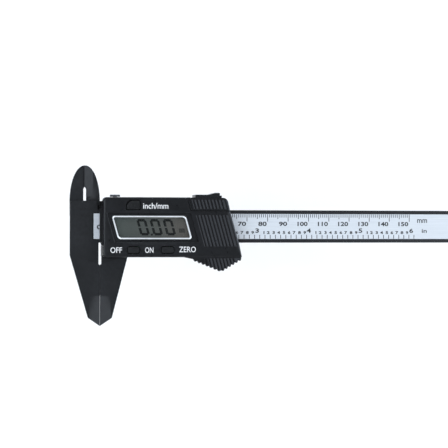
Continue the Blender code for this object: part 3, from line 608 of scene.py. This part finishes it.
def digit_nought(left):
    """The six lit segments of a nought whose left side crosses Y = 0 at a place along X."""
    low, high = DIGIT_FOOT + SEGMENT / 2, DIGIT_TOP - SEGMENT / 2
    middle = (DIGIT_FOOT + DIGIT_TOP) / 2
    halves = ((low, middle - SEGMENT_BREAK), (middle + SEGMENT_BREAK, high))
    right = left + DIGIT_WIDTH
    bars = [(lean(x, foot), lean(x, top)) for x in (left, right) for foot, top in halves]
    bars += [(lean(left, y), lean(right, y)) for y in (low, high)]
    return [leaning_bar(start, end) for start, end in bars]


segments = []
for place in range(3):
    segments += digit_nought(FIRST_DIGIT + place * DIGIT_PITCH)
segments.append(block("point", (POINT_LEFT, POINT_LOW, GLASS_FACE),
                      (POINT_LEFT + POINT_SIDE, POINT_LOW + POINT_SIDE, GLASS_FACE + SEGMENT_HEIGHT)))
lit_segment = Finish("lit_segment", roughness=0.35, specular=0.2)
crystal_depth = lit_segment.noise(2, 2)
near_black = lit_segment.ramp(crystal_depth, (0.3, (0.0015, 0.002, 0.002)), (0.7, (0.003, 0.0035, 0.0035)))
lit_segment.set("Base Color", near_black)
lit_segment.bump(crystal_depth, 0.05, 0.005)
fit(joined("lit_digits", segments), "slider", lit_segment, "lcd_glass")

faint_segment = Finish("faint_segment", roughness=0.35, specular=0.2)
fading = faint_segment.noise(1, 2)
dark_grey = faint_segment.ramp(fading, (0.3, (0.022, 0.022, 0.020)), (0.7, (0.034, 0.032, 0.029)))
faint_segment.set("Base Color", dark_grey)
faint_segment.bump(fading, 0.05, 0.005)
unit_mark = lettering("mm", (37.9, -3.0), 2.1, width=2.8, weight=0.07, z=GLASS_FACE)
unit_mark.name = "unit_mark"
fit(unit_mark, "slider", faint_segment, "lcd_glass")


# --- Front housing ----------------------------------------------------------------
# The front cover with the thumb grip, in the same black plastic but a little glossier.
# The ribs and the toothed grip are moulded in, and the words are printed in white.

HOUSING_FACE = 15.2
RIBS_LEFT = 45.6
RIBS_RIGHT = 61.0
SIDE_LEFT = 61.9
SIDE_RIGHT = 63.5
RECESS_LEFT = 4.45
housing_plastic = moulded_plastic("housing_plastic", (0.0066, 0.0072, 0.0084), 0.32, 0.2)


def polished(finish, colour, left, right, *zones):
    """Paint a highlight on the front face: grey it between two leaning lines and pairs of heights."""
    def reckon(operation, *values):
        """One sum on the patterns."""
        return finish.add("Math", dict(enumerate(values)), operation=operation).outputs["Value"]

    datum = at(0, 0, 0) / MM
    parts = finish.add("SeparateXYZ", {"Vector": finish.place}).outputs
    leaning_x = reckon("MULTIPLY_ADD", parts["Y"], LEAN, parts["X"])
    midway = datum.x + datum.y * LEAN + (left + right) / 2
    between = reckon("COMPARE", leaning_x, midway, (right - left) / 2)
    in_front = reckon("GREATER_THAN", parts["Z"], HOUSING_FACE - 0.25)
    bands = 0.0
    for low, high in zones:
        band = reckon("COMPARE", parts["Y"], datum.y + (low + high) / 2, (high - low) / 2)
        bands = reckon("ADD", band, bands)
    mask = reckon("MULTIPLY", reckon("MULTIPLY", between, in_front), bands)
    body = finish.shader.inputs["Base Color"].links[0].from_socket
    finish.set("Base Color", finish.mix(mask, body, (*colour, 1.0)))


RIB_HEIGHTS = ((-24.0, -15.0), (-9.4, 5.3), (8.2, 12.5))
# Painted highlight: the tops of the grip's ribs are painted lighter grey, as if their rounded tops caught
# the lamps.
polished(housing_plastic, (0.030, 0.032, 0.036), RIBS_LEFT, RIBS_RIGHT, *RIB_HEIGHTS)
# Painted highlight: a bluish lighter strip along the right edge, where its rounding would catch the right
# lamp.
polished(housing_plastic, (0.040, 0.044, 0.052), SIDE_LEFT, SIDE_RIGHT, (-13.0, 12.4))
# Painted highlight: a light line on the left bevel of the display recess, where it would face the light.
polished(housing_plastic, (0.034, 0.037, 0.041), RECESS_LEFT - 0.35, RECESS_LEFT, (-7.4, 6.3))
housing = copy_of("front_housing", "front_cover")
recess_corner = at(RECESS_LEFT, 0, HOUSING_FACE)
only(housing)
bpy.ops.object.mode_set(mode="EDIT")
bpy.ops.mesh.select_mode(type="EDGE")
bpy.ops.mesh.select_all(action="DESELECT")
bpy.ops.object.mode_set(mode="OBJECT")
for edge in housing.data.edges:
    offsets = [housing.data.vertices[corner].co - recess_corner for corner in edge.vertices]
    edge.select = all(abs(o.x + o.y * LEAN) < 0.1 * MM and abs(o.z) < 0.01 * MM for o in offsets)
bpy.ops.object.mode_set(mode="EDIT")
bpy.ops.mesh.bevel(offset=0.4 * MM, segments=1, affect="EDGES")
bpy.ops.object.mode_set(mode="OBJECT")
round_edges(housing, 0.08)
fit(housing, "slider", housing_plastic, "housing_plastic", "front_housing")

white_print = Finish("white_print", roughness=0.45)
coverage = white_print.noise(3, 3)
worn_white = white_print.ramp(coverage, (0.25, (0.56, 0.57, 0.58)), (0.5, (0.70, 0.71, 0.72)))
white_print.set("Base Color", worn_white)
white_print.bump(coverage, 0.15, 0.008)
WORDS = (("inch/mm", (25.3, 8.2), 2.75, 11.8), ("OFF", (6.9, -12.4), 2.65, 5.4),
         ("ON", (22.3, -12.4), 2.65, 3.9), ("ZERO", (40.25, -12.1), 2.65, 7.9))
words = [lettering(word, foot, height, width, weight=0.008, z=HOUSING_FACE)
         for word, foot, height, width in WORDS]
fit(joined("printed_words", words), "slider", white_print, "pale_rim")


# --- Display rim and window ---------------------------------------------------------
# A pale moulded rim in the shallow recess, and the clear pane that it holds.  Both
# lean like the digits and have round corners.

RIM_FACE = 14.7
RIM_BACK = 13.3
RIM_WIDTH = 0.65
WINDOW_FACE = 14.2
WINDOW_BACK = 13.4
WINDOW_INSET = RIM_WIDTH + 0.3
RIM_SIDES = (6.15, 40.9, -6.0, 4.9)


def leaning_plate(name, sides, radius, face):
    """A flat leaning plate with round corners, facing forward, in edit mode."""
    left, right, low, high = sides
    bpy.ops.object.select_all(action="DESELECT")
    centre = at((left + right) / 2, (low + high) / 2, face)
    bpy.ops.mesh.primitive_plane_add(size=1, location=centre)
    plate = bpy.context.object
    plate.name = name
    plate.scale = ((right - left) * MM, (high - low) * MM, 1)
    bpy.ops.object.transform_apply(location=True, rotation=True, scale=True)
    for edge_y in (low, high):
        bpy.ops.object.mode_set(mode="EDIT")
        bpy.ops.mesh.select_mode(type="VERT")
        bpy.ops.mesh.select_all(action="DESELECT")
        bpy.ops.object.mode_set(mode="OBJECT")
        for vertex in plate.data.vertices:
            vertex.select = abs(vertex.co.y - at(0, edge_y, 0).y) < 0.001 * MM
        bpy.ops.object.mode_set(mode="EDIT")
        bpy.ops.transform.translate(value=(-edge_y * LEAN * MM, 0, 0))
        bpy.ops.object.mode_set(mode="OBJECT")
    bpy.ops.object.mode_set(mode="EDIT")
    bpy.ops.mesh.select_all(action="SELECT")
    bpy.ops.mesh.bevel(offset=radius * MM, segments=6, affect="VERTICES")
    bpy.ops.mesh.select_mode(type="FACE")
    bpy.ops.mesh.select_all(action="SELECT")
    return plate


def thicken(plate, depth):
    """Give a flat plate its thickness backwards, and leave edit mode."""
    bpy.ops.mesh.select_all(action="SELECT")
    bpy.ops.mesh.extrude_region_move(TRANSFORM_OT_translate={"value": (0, 0, -depth * MM)})
    bpy.ops.mesh.select_all(action="SELECT")
    bpy.ops.mesh.normals_make_consistent(inside=False)
    bpy.ops.object.mode_set(mode="OBJECT")


rim = leaning_plate("display_rim", RIM_SIDES, 1.5, RIM_FACE)
bpy.ops.mesh.inset(thickness=RIM_WIDTH * MM)
bpy.ops.mesh.delete(type="FACE")
thicken(rim, RIM_FACE - RIM_BACK)
round_edges(rim, 0.14)
rim_plastic = moulded_plastic("rim_plastic", (0.50, 0.52, 0.54), 0.32)
fit(rim, "slider", rim_plastic, "pale_rim", "display_border")

left, right, low, high = RIM_SIDES
window_sides = (left + WINDOW_INSET, right - WINDOW_INSET, low + WINDOW_INSET, high - WINDOW_INSET)
window = leaning_plate("window_pane", window_sides, 0.5, WINDOW_FACE)
thicken(window, WINDOW_FACE - WINDOW_BACK)
round_edges(window, 0.08)
clear_acrylic = Finish("clear_acrylic")
haze = clear_acrylic.noise(0.4, 4)
smoky = clear_acrylic.ramp(haze, (0.3, (0.03, 0.035, 0.035)), (0.7, (0.05, 0.055, 0.055)))
clear_acrylic.set("Base Color", smoky)
clear_acrylic.set("Roughness", clear_acrylic.spread(haze, 0.05, 0.11))
clear_acrylic.set("Alpha", 0.06)
clear_acrylic.bump(clear_acrylic.noise(0.2, 1), 0.05, 0.02)
fit(window, "slider", clear_acrylic, "clear_window", "display_window")


# --- Push buttons -------------------------------------------------------------------
# Three black rubbery caps that barely stand out of the housing.  Each has a shallow
# dish for the finger, a flange behind the housing and a stem over its snap dome.

DISH_RIM = 0.35
DISH_DEPTH = 0.12
cap_rubber = moulded_plastic("cap_rubber", (0.0070, 0.0076, 0.0086), 0.40, 0.2)
for key in ("power", "zero", "unit"):
    cap = copy_of(f"{key}_button", f"{key}_button_cap")
    edit_face(cap, max(cap.data.polygons, key=lambda face: (round(face.center.z, 6), face.area)).index)
    bpy.ops.mesh.inset(thickness=DISH_RIM * MM)
    bpy.ops.mesh.inset(thickness=DISH_RIM * MM)
    bpy.ops.transform.translate(value=(0, 0, -DISH_DEPTH * MM))
    bpy.ops.object.mode_set(mode="OBJECT")
    round_edges(cap, 0.08)
    fit(cap, f"{key}_button", cap_rubber, "button_plastic", f"{key}_button")


# --- Battery and its contacts ---------------------------------------------------------
# One steel button cell on its rim behind the battery cover, with a bowed contact on its
# side and a flat one on its negative face.

cell_steel = drawn_steel("cell_steel", (0.70, 0.70, 0.71), (1, 1, 1))
cell = copy_of("battery", "button_cell")
round_edges(cell, 0.15, 3)
fit(cell, "slider", cell_steel, "steel", "battery")
for side in ("positive", "negative"):
    contact = copy_of(f"battery_contact_{side}", f"{side}_contact")
    round_edges(contact, 0.04, 1)
    fit(contact, "slider", spring_steel, "steel", f"battery_contact_{side}")


# --- Battery cover ----------------------------------------------------------------------
# The ribbed cover that slides off to the right, with the thumb ridge on its top wall.
# It is moulded with the housing's grain, and its edges are rubbed lighter like the housing's.

cover = copy_of("battery_cover", "sliding_cover")
round_edges(cover, 0.08)
fit(cover, "battery_cover", housing_plastic, "housing_plastic", "battery_cover")


# --- Clamp screw and pad -------------------------------------------------------------------
# A blackened screw on the slider's upper edge with a slotted head, and the small brass
# pad that it presses on the rail.

clamp = copy_of("lock_screw", "clamp_screw")
round_edges(clamp, 0.08)
fit(clamp, "lock_screw", blackened_steel, "steel", "lock_screw")
pad_brass = drawn_steel("pad_brass", (0.72, 0.55, 0.27), (1, 1, 1))
pad = copy_of("lock_pad", "clamp_pad")
round_edges(pad, 0.12)
fit(pad, "lock_pad", pad_brass, "brass", "lock_pad")


# --- Housing and board screws ---------------------------------------------------------------
# Seven cross-head screws driven from the back: four through the base into the housing's
# bosses, and three short ones that hold the board in the housing.

screws = [("housing", number, 0.3, (1.5, 0.8), 0.75, 10.5) for number in range(1, 5)]
screws += [("board", number, 5.9, (1.2, 0.6), 0.6, 4.2) for number in range(1, 4)]
for kind, number, head_back, head, shank, length in screws:
    node = f"{kind}_screw_{number}"
    name = f"{kind}_cross_screw_{number}"
    screw = screw_from_behind(name, spot_of(node), head_back, head, shank, length)
    fit(screw, "slider", blackened_steel, "steel", node)


# --- Floor, light and camera ------------------------------------------------------------------
# The caliper floats 120 mm above a flat white floor, as if on clear glass, so its shadow falls out of
# sight.
# Soft boxes hang on four sides in a dim white room, the two at the ends a little blue.
# The camera looks down from a little to the left of the jaws.

bpy.ops.object.select_all(action="DESELECT")
FLOOR_DROP = 120
floor_level = cad_bounds[0][2] - FLOOR_DROP * MM
bpy.ops.mesh.primitive_plane_add(size=6, location=(0, 0, floor_level))
floor = bpy.context.object
floor.name = "floor"
floor_paper = Finish("floor_paper", roughness=0.9, specular=0.1)
fibre = floor_paper.noise(0.02, 3)
floor_paper.set("Base Color", floor_paper.ramp(fibre, (0.3, (0.90, 0.90, 0.90)), (0.7, (0.92, 0.92, 0.92))))
floor.data.materials.append(floor_paper.material)

room = bpy.data.worlds.new("room")
room.use_nodes = True
background = room.node_tree.nodes["Background"].inputs
background["Color"].default_value = (1.0, 1.0, 1.0, 1.0)
background["Strength"].default_value = 0.22
bpy.context.scene.world = room
bpy.context.scene.view_settings.view_transform = "Standard"


def soft_box(name, spot, size, watts, tone=(1.0, 1.0, 1.0)):
    """A rectangular lamp that faces the middle of the object, placed and sized in metres."""
    lamp = bpy.data.lights.new(name, "AREA")
    lamp.shape = "RECTANGLE"
    lamp.size, lamp.size_y = size
    lamp.energy = watts
    lamp.color = tone
    holder = bpy.data.objects.new(name, lamp)
    bpy.context.scene.collection.objects.link(holder)
    holder.location = spot
    holder.rotation_euler = (-Vector(spot)).to_track_quat("-Z", "Y").to_euler()


DAYLIGHT = (0.82, 0.90, 1.0)
soft_box("box_left", (-0.62, 0.02, 0.74), (0.45, 0.9), 5.8, DAYLIGHT)
soft_box("box_right", (0.66, 0.0, 0.70), (0.45, 0.9), 5.8, DAYLIGHT)
soft_box("box_upper", (0.0, 0.80, 0.60), (1.0, 0.5), 5.0)
soft_box("box_lower", (0.0, -0.80, 0.60), (1.0, 0.5), 4.0)

EYE = (-43.72, 1.15, 665.1)
SIGHT_TILT = math.radians(8.854)
ROLL = math.radians(0.1010)
camera = bpy.data.cameras.new("camera")
camera.sensor_width = 36
camera.lens = 112.5
viewer = bpy.data.objects.new("camera", camera)
bpy.context.scene.collection.objects.link(viewer)
sideways = Vector((math.cos(SIGHT_TILT), 0, math.sin(SIGHT_TILT)))
upwards = Vector((0, 1, 0))
backwards = sideways.cross(upwards)
turned_side = sideways * math.cos(ROLL) + upwards * math.sin(ROLL)
turned_up = upwards * math.cos(ROLL) - sideways * math.sin(ROLL)
turn = Matrix((turned_side, turned_up, backwards)).transposed().to_4x4()
viewer.matrix_world = Matrix.Translation(at(*EYE)) @ turn
bpy.context.scene.camera = viewer
